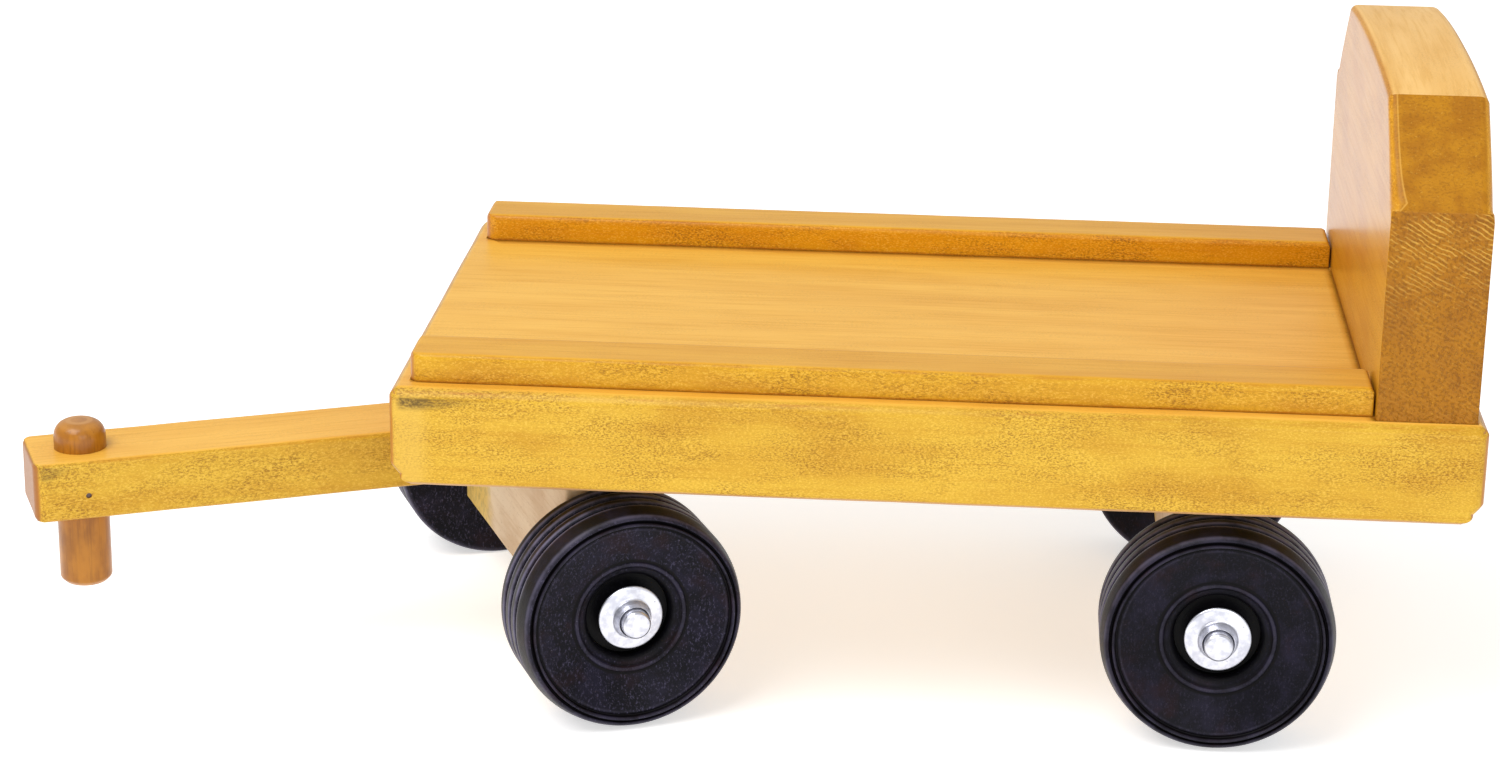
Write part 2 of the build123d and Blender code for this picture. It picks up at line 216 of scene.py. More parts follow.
def rounded(corners, steps=5):
    """The closed outline in metres through (along, radius, rounding) corners in millimetres."""
    longest_share = 0.48
    outline = []
    for n, (along, radius, rounding) in enumerate(corners):
        here = Vector((along, radius))
        before = Vector(corners[n - 1][:2])
        after = Vector(corners[(n + 1) % len(corners)][:2])
        if rounding == 0:
            outline.append(here)
            continue
        start = here + (before - here).normalized() * min(rounding, (before - here).length * longest_share)
        stop = here + (after - here).normalized() * min(rounding, (after - here).length * longest_share)
        for k in range(steps + 1):
            t = k / steps
            outline.append(start * (1 - t) ** 2 + here * 2 * t * (1 - t) + stop * t**2)
    return [(point.x * mm, point.y * mm) for point in outline]


def finer(outline, reach):
    """The same outline with a point beside each corner, so that what is stored there stays local."""
    long_enough = 2.5 * reach
    made = []
    for n, here in enumerate(outline):
        after = Vector(outline[(n + 1) % len(outline)])
        start = Vector(here)
        made.append(tuple(start))
        if (after - start).length > long_enough:
            step = (after - start).normalized() * reach
            made += [tuple(start + step), tuple(after - step)]
    return made


def mark_profile(piece, outline, turns, reach):
    """Stores how far each point of a turned section stands out: above 0 on a ridge, below 0 in a groove."""
    almost_nothing = 1e-9
    path = np.array(outline)
    closed = np.vstack([path, path[:1]])
    along = np.concatenate([[0], np.cumsum(np.linalg.norm(np.diff(closed, axis=0), axis=1))])

    def at(distance):
        return np.stack([np.interp(distance % along[-1], along, closed[:, k]) for k in (0, 1)], axis=1)

    before, after = at(along[:-1] - reach), at(along[:-1] + reach)
    tangent = after - before
    outward = np.stack([-tangent[:, 1], tangent[:, 0]], axis=1)
    outward /= np.linalg.norm(outward, axis=1)[:, None] + almost_nothing
    stand = ((path - (before + after) / 2) * outward).sum(axis=1) / reach
    attribute = piece.data.attributes.new("stand", "FLOAT", "POINT")
    attribute.data.foreach_set("value", np.repeat(stand, turns).astype(np.float32))


def lathe(outline, turns):
    """Points and faces of a closed outline of (along, radius) points turned about X."""
    angles = [2 * pi * k / turns for k in range(turns)]
    points = [(x, r * cos(a), r * sin(a)) for x, r in outline for a in angles]
    faces = []
    for n in range(len(outline)):
        after = (n + 1) % len(outline)
        for k in range(turns):
            turned = (k + 1) % turns
            faces.append((n * turns + k, n * turns + turned, after * turns + turned, after * turns + k))
    return points, faces


def solid_lathe(outline, turns):
    """As lathe, for an open outline that starts and ends on the axis."""
    angles = [2 * pi * k / turns for k in range(turns)]
    rings = outline[1:-1]
    points = [(x, r * cos(a), r * sin(a)) for x, r in rings for a in angles]
    first, last = len(points), len(points) + 1
    points += [(outline[0][0], 0, 0), (outline[-1][0], 0, 0)]
    faces = []
    for k in range(turns):
        turned = (k + 1) % turns
        faces.append((first, turned, k))
        for n in range(len(rings) - 1):
            faces.append((n * turns + k, n * turns + turned, (n + 1) * turns + turned, (n + 1) * turns + k))
        end = (len(rings) - 1) * turns
        faces.append((last, end + k, end + turned))
    return points, faces


# ---------------------------------------------------------------- materials


def srgb(red, green, blue):
    """A linear colour from 0 to 255 display values."""
    linear = []
    for value in (red, green, blue):
        share = value / 255
        linear.append(share / 12.92 if share <= 0.04045 else ((share + 0.055) / 1.055) ** 2.4)
    return (*linear, 1)


class Nodes:
    """A short way to write one material's node tree. Positions are in millimetres."""

    def __init__(self, name):
        self.material = bpy.data.materials.new(name)
        self.material.use_nodes = True
        self.tree = self.material.node_tree
        self.tree.nodes.clear()

    def add(self, kind, inputs, output=0, **settings):
        node = self.tree.nodes.new(kind)
        for key, value in settings.items():
            setattr(node, key, value)
        for key, value in inputs.items():
            if isinstance(value, bpy.types.NodeSocket):
                self.tree.links.new(value, node.inputs[key])
            else:
                node.inputs[key].default_value = value
        return node.outputs[output]

    def coordinates(self, scale=(1, 1, 1), offset=(0, 0, 0), turn=(0, 0, 0)):
        """The piece's own coordinates in millimetres, then turned, stretched and moved."""
        plain = self.add("ShaderNodeTexCoord", {}, "Object")
        turned = self.add("ShaderNodeVectorRotate", {0: plain, 4: turn}, rotation_type="EULER_XYZ")
        stretch = tuple(value / mm for value in scale)
        return self.add("ShaderNodeMapping", {"Vector": turned, "Scale": stretch, "Location": offset})

    def normal_part(self, axis):
        """How far the surface faces along an axis, either way: 0 to 1."""
        normal = self.add("ShaderNodeTexCoord", {}, "Normal")
        part = self.add("ShaderNodeSeparateXYZ", {0: normal}, axis)
        return self.math("ABSOLUTE", part)

    def facing(self, axis):
        """How far the surface faces along an axis: -1 to 1."""
        normal = self.add("ShaderNodeTexCoord", {}, "Normal")
        return self.add("ShaderNodeSeparateXYZ", {0: normal}, axis)

    def part(self, vector, axis):
        return self.add("ShaderNodeSeparateXYZ", {0: vector}, axis)

    def math(self, operation, a, b=0.0):
        return self.add("ShaderNodeMath", {0: a, 1: b}, operation=operation)

    def times(self, *values):
        product = values[0]
        for value in values[1:]:
            product = self.math("MULTIPLY", product, value)
        return product

    def invert(self, value):
        return self.math("SUBTRACT", 1.0, value)

    def step(self, value, low, high, to_low=0.0, to_high=1.0):
        """A smooth change from to_low to to_high as value goes from low to high."""
        inputs = {0: value, 1: low, 2: high, 3: to_low, 4: to_high}
        return self.add("ShaderNodeMapRange", inputs, interpolation_type="SMOOTHSTEP")

    def noise(self, vector, size, detail=3.0, roughness=0.55, distortion=0.0):
        inputs = {
            "Vector": vector,
            "Scale": 1 / size,
            "Detail": detail,
            "Roughness": roughness,
            "Distortion": distortion,
        }
        return self.add("ShaderNodeTexNoise", inputs)

    def mix(self, amount, a, b, blend="MIX"):
        inputs = {0: amount, 6: a, 7: b}
        return self.add("ShaderNodeMix", inputs, 2, data_type="RGBA", blend_type=blend)

    def bump(self, height, distance, strength=1.0, under=None):
        inputs = {"Height": height, "Distance": distance, "Strength": strength}
        if under is not None:
            inputs["Normal"] = under
        return self.add("ShaderNodeBump", inputs)


def add_output(nodes, shader):
    """Ends a material's node tree with its shader and gives back the material."""
    output = nodes.tree.nodes.new("ShaderNodeOutputMaterial")
    nodes.tree.links.new(shader, output.inputs["Surface"])
    return nodes.material


def noise_shift(seed):
    """Moves a board's noise, so that no two boards have the same grain."""
    return (11.3 * seed, 7.1 * seed, 3.7 * seed)


# Amber-stained maple
umber = srgb(134, 88, 12)
straw = srgb(244, 208, 104)
deep_stain = (0.86, 0.76, 0.46, 1)
lit_top_peach = srgb(236, 182, 76)
mustard = srgb(207, 164, 46)
end_brown = srgb(176, 112, 48)
rubbed_brown = srgb(176, 106, 20)
# Seam grime, also used as painted shade in the seams and at the feet of glued pieces
seam_grime_shade_brown = srgb(150, 74, 18)
lip_tan = srgb(190, 148, 112)
smudge_brown = srgb(84, 62, 24)
worn_straw = srgb(216, 176, 80)
rail_lit_top_amber = srgb(222, 166, 52)
left_rail_amber = srgb(206, 156, 26)
right_rail_amber = srgb(212, 146, 0)
bar_end_brown = srgb(146, 80, 30)
crown_lit_peach = srgb(240, 192, 112)
backboard_amber = srgb(206, 144, 20)
backboard_end_brown = srgb(168, 108, 10)

# The backboard's sawn sides and facets
sawn_brown = srgb(160, 102, 0)
sawn_dark = srgb(142, 86, 0)
sawn_pit = srgb(108, 62, 0)
sawn_grit = srgb(206, 152, 44)
saw_mark = srgb(222, 172, 74)
facet_brown = srgb(176, 118, 10)
facet_dark = srgb(156, 98, 4)
facet_stripe = srgb(196, 144, 44)
facet_pit = srgb(114, 68, 2)
facet_grit = srgb(206, 156, 62)
crest_straw = srgb(222, 170, 78)

# Bare wood, and the stain run over it
bare_pale = srgb(218, 194, 160)
bare_tan = srgb(200, 168, 128)
bare_fibre = srgb(186, 148, 104)
bare_pore = srgb(150, 108, 66)
run_yellow = srgb(208, 170, 62)
run_olive = srgb(158, 130, 38)

# The peg's dowel
dowel_amber = srgb(172, 110, 20)
dowel_brown = srgb(146, 88, 10)
dowel_fibre = srgb(104, 60, 8)
dowel_end = srgb(196, 140, 72)

# Dyed black wood
tread_black = srgb(11, 7, 8)
disc_black = srgb(10, 9, 17)
violet_black = srgb(30, 27, 44)
violet_grey = srgb(72, 68, 90)
rust_black = srgb(38, 18, 20)
dust_grey = srgb(116, 110, 126)
ridge_highlight_grey = srgb(122, 117, 142)
groove_shade_black = srgb(4, 3, 5)
hollow_shade_black = srgb(3, 3, 4)

# Steel
zinc_white = srgb(228, 229, 238)
zinc_grey = srgb(176, 178, 192)
scratch_grey = srgb(120, 121, 134)
screw_grey = srgb(190, 190, 196)
rust_brown = srgb(70, 38, 16)

# Nylon washers, and the floor
nylon_white = srgb(232, 230, 222)
nylon_cream = srgb(214, 210, 198)
floor_white = srgb(232, 232, 232)
floor_grey = srgb(228, 228, 228)


def amber_wood(
    name, seed, top=lit_top_peach, side=mustard, end=end_brown,
    grain_turn=0.0, gloss=0.1, specks=1.0, stains=(), saw=None,
):
    """Amber-stained maple under satin lacquer, with its grain along X after a turn about Z.

    Top, side and end are its colours where it faces up, sideways and along the grain; the lighter top is painted
    light. Stains, among them grime with painted shade at the seams, are painted over it in turn, and saw adds a
    sawn surface.
    """
    n = Nodes(name)
    turn = (0, 0, grain_turn)
    place = noise_shift(seed)
    fibre = n.noise(n.coordinates((0.035, 1, 1), place, turn), 0.9, 5, 0.6, 0.3)
    figure = n.noise(n.coordinates((0.1, 1, 1), place, turn), 7.5, 3, 0.5, 0.6)
    cloud = n.noise(n.coordinates((0.45, 1, 1), place, turn), 13, 3, 0.55)
    lit_up = n.step(n.facing("Z"), 0.75, 0.95)
    along_grain = n.step(n.normal_part("X" if grain_turn == 0 else "Y"), 0.55, 0.8)
    upright = n.invert(n.math("MAXIMUM", lit_up, along_grain))

    # Painted light: faces that look up are painted in the lighter top colour
    base = n.mix(lit_up, side, top)
    base = n.mix(n.times(n.step(figure, 0.34, 0.68), 0.5), base, deep_stain, "MULTIPLY")
    base = n.mix(n.times(n.step(fibre, 0.44, 0.7), 0.55), base, deep_stain, "MULTIPLY")
    blotch = n.times(n.step(cloud, 0.45, 0.68), n.math("ADD", n.times(upright, 0.55), 0.2))
    base = n.mix(blotch, base, deep_stain, "MULTIPLY")

    # Very fine dark and pale specks, denser in some places, which show most on the upright faces
    speck = n.noise(n.coordinates((0.5, 1, 1), place, turn), 0.3, 4, 0.7)
    crowd = n.noise(n.coordinates((0.3, 1, 1), (place[1], place[0], 5), turn), 6.5, 4, 0.65)
    density = n.step(crowd, 0.38, 0.66, 0.2, 1.0)
    dark = n.times(n.step(speck, 0.49, 0.6), density, n.math("ADD", n.times(upright, 0.62 * specks), 0.2))
    base = n.mix(dark, base, umber)
    pale = n.times(n.step(speck, 0.47, 0.36), upright, 0.26)
    base = n.mix(pale, base, straw)

    # End grain drinks more stain, and edges are rubbed darker in places
    base = n.mix(n.times(along_grain, 0.85), base, end)
    base = n.mix(n.times(along_grain, n.step(fibre, 0.5, 0.75), 0.35), base, umber)
    edge = n.add("ShaderNodeAttribute", {}, "Fac", attribute_name="edge")
    patch = n.step(n.noise(n.coordinates((1, 1, 1), place), 9, 3), 0.42, 0.62)
    base = n.mix(n.times(n.step(edge, 0.3, 0.95), patch, 0.4), base, rubbed_brown)
    relief = n.math("SUBTRACT", n.times(fibre, 0.5), n.times(dark, 0.6))
    normal = n.bump(relief, 0.05 * mm, 0.7)

    for stain in stains:
        base = stain(n, base)
    if saw is not None:
        base, normal = saw(n, base, normal)
    inputs = {
        "Base Color": base,
        "Roughness": n.math("ADD", n.times(fibre, 0.14), 0.32),
        "Specular IOR Level": 0.22,
        "Normal": normal,
        "Coat Weight": gloss,
        "Coat Roughness": 0.24,
    }
    return add_output(n, n.add("ShaderNodeBsdfPrincipled", inputs))


def seam_grime_and_shade(lines):
    """Dark grime by each (axis, position, other axis, from, to) line on a flat top, with a faint halo of painted
    shade beside it.
    """

    def paint(n, base):
        where = n.coordinates()
        for axis, position, other_axis, low, high in lines:
            across = n.math("ABSOLUTE", n.part(where, axis))
            away = n.math("ABSOLUTE", n.math("SUBTRACT", across, position / mm))
            along = n.part(where, other_axis)
            begun = n.step(along, low / mm, low / mm + 0.5)
            ended = n.step(along, high / mm - 0.5, high / mm, 1, 0)
            inside = n.times(begun, ended)
            on_top = n.step(n.facing("Z"), 0.6, 0.9)
            # A thin line of grime in the seam, darkened further as painted shade where the parts meet
            grime_and_shade = n.times(n.step(away, 0.1, 0.6, 1.0, 0.0), inside, on_top, 0.32)
            base = n.mix(grime_and_shade, base, seam_grime_shade_brown)
            # A faint halo of painted shade on the flat top beside the seam
            shade_halo = n.times(n.step(away, 0.5, 3.0, 1.0, 0.0), inside, on_top, 0.3)
            base = n.mix(shade_halo, base, deep_stain, "MULTIPLY")
        return base

    return paint


def foot_grime_and_shade(level):
    """Grime along the bottom edge of a piece that is glued down at level, darkened further as painted shade where
    it meets the deck.
    """

    def paint(n, base):
        height = n.part(n.coordinates(), "Z")
        ragged = n.noise(n.coordinates((0.3, 1, 1)), 1.2, 3)
        lifted = n.math("SUBTRACT", height, n.times(ragged, 0.5))
        # Darker towards the glued foot: grime, and painted shade where the piece meets the deck
        grime_and_shade = n.step(lifted, level / mm - 0.15, level / mm + 0.3, 0.5, 0.0)
        return n.mix(grime_and_shade, base, seam_grime_shade_brown)

    return paint


def pale_lip(level):
    """A paler strip along the bottom edge of the deck, where the stain has been rubbed off."""

    def paint(n, base):
        ragged = n.times(n.noise(n.coordinates((0.1, 1, 1)), 2.0, 3), 0.6)
        height = n.math("SUBTRACT", n.part(n.coordinates(), "Z"), ragged)
        strip = n.step(height, level / mm + 0.2, level / mm + 0.7, 0.75, 0.0)
        return n.mix(n.times(strip, n.step(n.normal_part("Y"), 0.2, 0.5)), base, lip_tan)

    return paint


def smudge(x, z, length, height, strength=0.9):
    """A dark rub mark on the left side face, thick at its near end, streaked and frayed along the grain."""

    def paint(n, base):
        where = n.coordinates()
        along = n.math("SUBTRACT", n.part(where, "X"), x / mm)
        down = n.math("SUBTRACT", z / mm, n.part(where, "Z"))
        streak = n.noise(n.coordinates((0.22, 1, 1)), 0.75, 3, 0.65)
        grit = n.noise(n.coordinates((0.7, 1, 1)), 0.4, 2, 0.6)
        fade = n.step(along, 0.1 * length / mm, length / mm, 1.0, 0.0)
        reach = n.times(n.math("ADD", n.times(fade, 0.7), 0.3), height / mm)
        shape = n.step(n.math("SUBTRACT", reach, down), -0.6, 1.3)
        shape = n.times(shape, fade, n.step(along, -0.9, 0.9), n.step(down, -0.4, 0.3))
        shape = n.times(shape, n.step(streak, 0.34, 0.5, 0.4, 1.0), n.step(grit, 0.34, 0.56, 0.6, 1.0))
        shape = n.times(shape, n.step(n.facing("Y"), -0.7, -0.95), strength)
        return n.mix(shape, base, smudge_brown)

    return paint


def worn_patch(x, width):
    """A smoother and paler strip on the left side face, near one end."""

    def paint(n, base):
        along = n.math("ABSOLUTE", n.math("SUBTRACT", n.part(n.coordinates(), "X"), x / mm))
        ragged = n.times(n.noise(n.coordinates(), 3, 3), 1.6)
        patch = n.step(n.math("ADD", along, ragged), width / mm / 2, width / mm / 2 + 4.5, 0.45, 0.0)
        return n.mix(n.times(patch, n.step(n.facing("Y"), -0.7, -0.95)), base, worn_straw)

    return paint


def turned_radius(n):
    """Distance from the piece's X axis in millimetres."""
    flat = n.coordinates((0, 1, 1))
    return n.add("ShaderNodeVectorMath", {0: flat}, 1, operation="LENGTH")


def ring_texture(n, width, detail=2.0):
    """Noise in rings about X, for turning marks."""
    radius = turned_radius(n)
    along = n.part(n.coordinates(), "X")
    rings = n.add("ShaderNodeCombineXYZ", {0: along, 1: radius, 2: 0.0})
    return n.noise(rings, width, detail, 0.6)


def zinc_steel(name, tint=zinc_white, turned=True, plated=0.88):
    """Zinc-plated steel, with turning marks about X or drawn along it. Plated is its brightness, 0 to 1."""
    n = Nodes(name)
    marks = ring_texture(n, 0.16, 3) if turned else n.noise(n.coordinates((0.1, 1, 1)), 0.2, 3)
    cloud = n.noise(n.coordinates(), 2.4, 3)
    colour = n.mix(n.times(n.step(cloud, 0.4, 0.64), 0.7 * plated), tint, zinc_grey)
    scratch = n.step(n.noise(n.coordinates((1, 0.35, 1)), 0.5, 4, 0.7), 0.6, 0.72)
    colour = n.mix(n.times(scratch, 0.62 * plated), colour, scratch_grey)
    inputs = {
        "Base Color": colour,
        "Metallic": plated,
        "Roughness": n.math("ADD", n.times(cloud, 0.16), 0.22),
        "Normal": n.bump(marks, 0.02 * mm, 0.8),
    }
    return add_output(n, n.add("ShaderNodeBsdfPrincipled", inputs))


def black_wood(name, seed, dust_and_light_share=1.0):
    """Turned wood dyed black under a thin satin lacquer, with X as its axle.

    How far its face is greyed, from 0 to 1: dust, and painted shade too, since the wheels in shade get less grey.
    """
    n = Nodes(name)
    place = (5.1 * seed, 9.7 * seed, 2.3 * seed)
    cloud = n.noise(n.coordinates((1, 1, 1), place), 6, 4, 0.6)
    mottle = n.noise(n.coordinates((1, 1, 0.6), place), 0.5, 3, 0.7)
    rings = ring_texture(n, 0.32, 3)
    face = n.step(n.normal_part("X"), 0.5, 0.9)
    colour = n.mix(face, tread_black, disc_black)
    colour = n.mix(n.times(n.step(cloud, 0.42, 0.7), 0.6), colour, violet_black)
    colour = n.mix(n.times(n.step(mottle, 0.52, 0.7), face, 0.6 * dust_and_light_share), colour, violet_grey)
    warm = n.step(n.noise(n.coordinates((1, 1, 1), (place[2], 4, place[0])), 9, 3), 0.5, 0.7)
    colour = n.mix(n.times(warm, 0.4), colour, rust_black)
    dust_and_shade = n.step(n.noise(n.coordinates((1, 1, 1), place), 0.3, 2), 0.66, 0.76)
    colour = n.mix(n.times(dust_and_shade, face, 0.5 * dust_and_light_share), colour, dust_grey)

    # Painted shade and highlight: the grooves are painted black as painted shade, and the ridges paler, partly
    # rubbed wear and partly a painted highlight
    stand = n.add("ShaderNodeAttribute", {}, "Fac", attribute_name="stand")
    tread = n.times(n.step(turned_radius(n), wheel_radius - 1.6, wheel_radius - 0.8), n.invert(face))
    wear_and_highlight = n.math("ADD", n.times(tread, 0.5), 0.1)
    rubbed_and_highlit = n.times(n.step(stand, 0.05, 0.3), n.step(cloud, 0.3, 0.6, 0.3, 1.0), wear_and_highlight)
    colour = n.mix(rubbed_and_highlit, colour, ridge_highlight_grey)
    colour = n.mix(n.times(n.step(stand, -0.05, -0.25), 0.92), colour, groove_shade_black)
    # Painted shade: the hub's hollow is painted black
    colour = n.mix(n.step(turned_radius(n), 11.2, 10.0, 0.0, 0.9), colour, hollow_shade_black)
    relief = n.math("ADD", n.times(rings, 0.6), n.times(mottle, 0.6))
    inputs = {
        "Base Color": colour,
        "Roughness": n.math("ADD", n.times(mottle, 0.22), 0.3),
        "Normal": n.bump(relief, 0.06 * mm, 0.8),
        "Specular IOR Level": n.math("ADD", n.times(tread, 0.1), 0.1),
    }
    return add_output(n, n.add("ShaderNodeBsdfPrincipled", inputs))


def bare_wood(name, seed, grain_turn=pi / 2, yellow_beyond=None):
    """Pale sanded hardwood with its grain along X after a turn about Z, and some stain run over it."""
    n = Nodes(name)
    turn = (0, 0, grain_turn)
    place = noise_shift(seed)
    fibre = n.noise(n.coordinates((0.04, 1, 1), place, turn), 0.8, 5, 0.6, 0.2)
    cloud = n.noise(n.coordinates((0.4, 1, 1), place, turn), 9, 3)
    pore = n.step(n.noise(n.coordinates((0.3, 1, 1), place, turn), 0.35, 2), 0.62, 0.74)
    colour = n.mix(n.step(cloud, 0.35, 0.7), bare_pale, bare_tan)
    colour = n.mix(n.times(n.step(fibre, 0.45, 0.75), 0.4), colour, bare_fibre)
    colour = n.mix(n.times(pore, 0.4), colour, bare_pore)
    if yellow_beyond is not None:
        across = n.part(n.coordinates(), "Y")
        ragged = n.times(n.noise(n.coordinates(), 6, 3), 9.0)
        run = n.step(n.math("ADD", across, ragged), yellow_beyond / mm, yellow_beyond / mm + 9)
        mottle = n.step(n.noise(n.coordinates(), 1.8, 4, 0.65), 0.42, 0.62)
        stained = n.mix(n.times(mottle, 0.7), run_yellow, run_olive)
        colour = n.mix(n.times(run, 0.8), colour, stained)
    inputs = {
        "Base Color": colour,
        "Roughness": n.math("ADD", n.times(fibre, 0.15), 0.52),
        "Normal": n.bump(n.math("SUBTRACT", fibre, pore), 0.05 * mm, 0.7),
    }
    return add_output(n, n.add("ShaderNodeBsdfPrincipled", inputs))


def dowel_wood(name):
    """The hitch peg: a brown-stained dowel, with end grain on its domed top. X is the dowel's axis."""
    n = Nodes(name)
    fibre = n.noise(n.coordinates((0.05, 1, 1)), 0.5, 4)
    cloud = n.noise(n.coordinates((0.5, 1, 1)), 3.5, 3)
    end = n.step(n.normal_part("X"), 0.5, 0.85)
    colour = n.mix(n.step(cloud, 0.35, 0.7), dowel_amber, dowel_brown)
    colour = n.mix(n.times(n.step(fibre, 0.5, 0.75), 0.4), colour, dowel_fibre)
    # A paler ring on the domed top is a painted highlight
    ring_highlight = n.step(n.math("ABSOLUTE", n.math("SUBTRACT", turned_radius(n), 2.4)), 0.3, 0.9, 1.0, 0.0)
    colour = n.mix(n.times(end, n.math("ADD", n.times(ring_highlight, 0.4), 0.35)), colour, dowel_end)
    inputs = {
        "Base Color": colour,
        "Roughness": n.math("ADD", n.times(fibre, 0.1), 0.3),
        "Normal": n.bump(fibre, 0.03 * mm, 0.6),
        "Specular IOR Level": 0.3,
        "Coat Weight": 0.25,
        "Coat Roughness": 0.2,
    }
    return add_output(n, n.add("ShaderNodeBsdfPrincipled", inputs))


def nylon_plastic(name):
    """Off-white nylon for the thrust washers."""
    n = Nodes(name)
    cloud = n.noise(n.coordinates(), 1.6, 3)
    inputs = {
        "Base Color": n.mix(cloud, nylon_white, nylon_cream),
        "Roughness": n.math("ADD", n.times(cloud, 0.15), 0.4),
        "Normal": n.bump(cloud, 0.02 * mm, 0.5),
    }
    return add_output(n, n.add("ShaderNodeBsdfPrincipled", inputs))


def rough_sawn(facet_bottom):
    """Saw marks on the backboard's upright side edges, and smooth stained facets above them."""
    mark_spacing = 0.95

    def paint(n, base, normal):
        where = n.coordinates()
        height = n.part(where, "Z")
        side = n.step(n.normal_part("Y"), 0.5, 0.66)
        below = n.step(height, facet_bottom / mm - 0.3, facet_bottom / mm + 0.1, 1.0, 0.0)
        rough = n.times(side, below)
        facet = n.times(side, n.invert(below))
        wander = n.times(n.noise(n.coordinates(), 4, 3), 1.7)
        slope = n.math("ADD", n.times(height, 0.88), n.times(n.part(where, "X"), 0.47))
        wave = n.math("SINE", n.times(n.math("ADD", slope, wander), 2 * pi / mark_spacing))
        broken = n.step(n.noise(n.coordinates((0.5, 1, 1)), 2.2, 3, 0.6), 0.36, 0.58)
        depth_below = n.math("SUBTRACT", facet_bottom / mm, height)
        fade = n.step(depth_below, 6, 26, 1.0, 0.12)
        marks = n.times(n.step(wave, 0.0, 0.9), broken, fade, rough)
        pit = n.step(n.noise(n.coordinates((0.6, 1, 0.6)), 0.42, 3, 0.7), 0.48, 0.66)
        grit = n.step(n.noise(n.coordinates((0.6, 1, 0.6), (3, 5, 7)), 0.4, 2, 0.6), 0.6, 0.74)
        cloud = n.step(n.noise(n.coordinates(), 9, 3), 0.4, 0.64)
        sawn_tone = n.mix(n.times(cloud, 0.6), sawn_brown, sawn_dark)
        sawn_tone = n.mix(n.times(pit, 0.45), sawn_tone, sawn_pit)
        sawn_tone = n.mix(n.times(grit, 0.4), sawn_tone, sawn_grit)
        sawn_tone = n.mix(n.times(marks, 0.6), sawn_tone, saw_mark)
        base = n.mix(n.times(rough, 0.96), base, sawn_tone)
        stripe = n.step(n.noise(n.coordinates((1, 0.01, 0.01)), 3.4, 1), 0.54, 0.62)
        facet_tone = n.mix(cloud, facet_brown, facet_dark)
        facet_tone = n.mix(n.times(stripe, 0.3), facet_tone, facet_stripe)
        facet_tone = n.mix(n.times(pit, 0.45), facet_tone, facet_pit)
        facet_tone = n.mix(n.times(grit, 0.4), facet_tone, facet_grit)
        base = n.mix(n.times(facet, 0.92), base, facet_tone)
        crest = n.add("ShaderNodeAttribute", {}, "Fac", attribute_name="crest")
        base = n.mix(n.times(n.step(crest, 0.3, 0.9), n.invert(below), 0.45), base, crest_straw)
        relief = n.times(n.math("SUBTRACT", n.math("ADD", n.times(marks, 1.2), 0.4), pit), rough)
        return base, n.bump(relief, 0.12 * mm, 0.8, normal)

    return paint


# ---------------------------------------------------------------- deck, rails and backboard

rail_inner = rail_low[1]
rail_outer = rail_high[1]
board_face = board_low[0]
# Lines where the rails and backboard meet the deck, which get grime and painted shade
seam_shade_lines = [
    ("Y", rail_inner, "X", rail_low[0], board_face),
    ("Y", rail_outer, "X", rail_low[0], board_face),
    ("X", board_face, "Y", board_low[1], board_high[1]),
]
# The deck's top takes the lighter top colour as painted light, and its seams take grime with painted shade
deck_material = amber_wood(
    "deck_wood",
    1,
    stains=(
        seam_grime_and_shade(seam_shade_lines),
        worn_patch(deck_low[0] + 4.5 * mm, 4 * mm),
        smudge(deck_low[0] + 2.3 * mm, deck_top - 2.1 * mm, 23 * mm, 2.7 * mm),
        pale_lip(deck_low[2]),
    ),
)
# Each row is an edge's two axes, which end of the second, how far the ease reaches, and its power
deck_edges = (
    ("xy", 0, 2.5 * mm, 2.0),
    ("xz", 1, 2.2 * mm, 1.35),
    ("yz", 1, 2.2 * mm, 1.35),
    ("xz", -1, 4.6 * mm, 1.2),
    ("yz", -1, 1.2 * mm, 1.6),
)
board(
    "deck", deck_low, deck_high, deck_edges, wagon_place, "wagon_body",
    "deck_board", deck_material, 1, bored=True,
)

rail_edges = (
    ("yx", -1, 3.0 * mm, 2.0),
    ("xz", 1, 1.2 * mm, 1.8),
    ("yz", 1, 1.2 * mm, 1.8),
)
# Each rail's top is painted lighter as painted light, and its foot gets grime with painted shade
for side, node, rail_tone in (
    (-1, "left_side_rail", left_rail_amber),
    (1, "right_side_rail", right_rail_amber),
):
    low, high = extent(node, wagon_place)
    rail_wood = amber_wood(
        f"{node}_wood", 2 + side, top=rail_lit_top_amber, side=rail_tone, stains=(foot_grime_and_shade(deck_top),),
    )
    board(
        f"{node}_sanded", low, high, rail_edges, wagon_place, "wagon_body",
        node, rail_wood, 4 + side,
    )


# The backboard's facets start at facet_bottom and end at the kinks, where its low crown begins
facet_bottom = deck_top + 45.6 * mm
kink_inset = 20.5 * mm
kink_drop = 2.0 * mm
crown_power = 2.3
inner_ease = 1.8 * mm
outer_ease = 2.4 * mm


def backboard_outline(low, high):
    """The backboard's outline in Y and Z, from its lower right corner round to its lower left one."""
    side_cuts, facet_cuts, crown_cuts = 24, 16, 30
    half = (high[1] - low[1]) / 2
    top = high[2]
    bottom = low[2]
    kink = (half - kink_inset, top - kink_drop)
    side = [(half, bottom + t * (facet_bottom - bottom)) for t in np.linspace(0, 1, side_cuts)]
    facet = [
        (half + (kink[0] - half) * t, facet_bottom + (kink[1] - facet_bottom) * t)
        for t in np.linspace(0, 1, facet_cuts)[1:]
    ]
    crown = [
        (kink[0] * (1 - t), kink[1] + kink_drop * (1 - (1 - t) ** crown_power))
        for t in np.linspace(0, 1, crown_cuts)[1:]
    ]
    right = side + facet + crown
    left = [(-y, z) for y, z in reversed(right[:-1])]
    return right + left


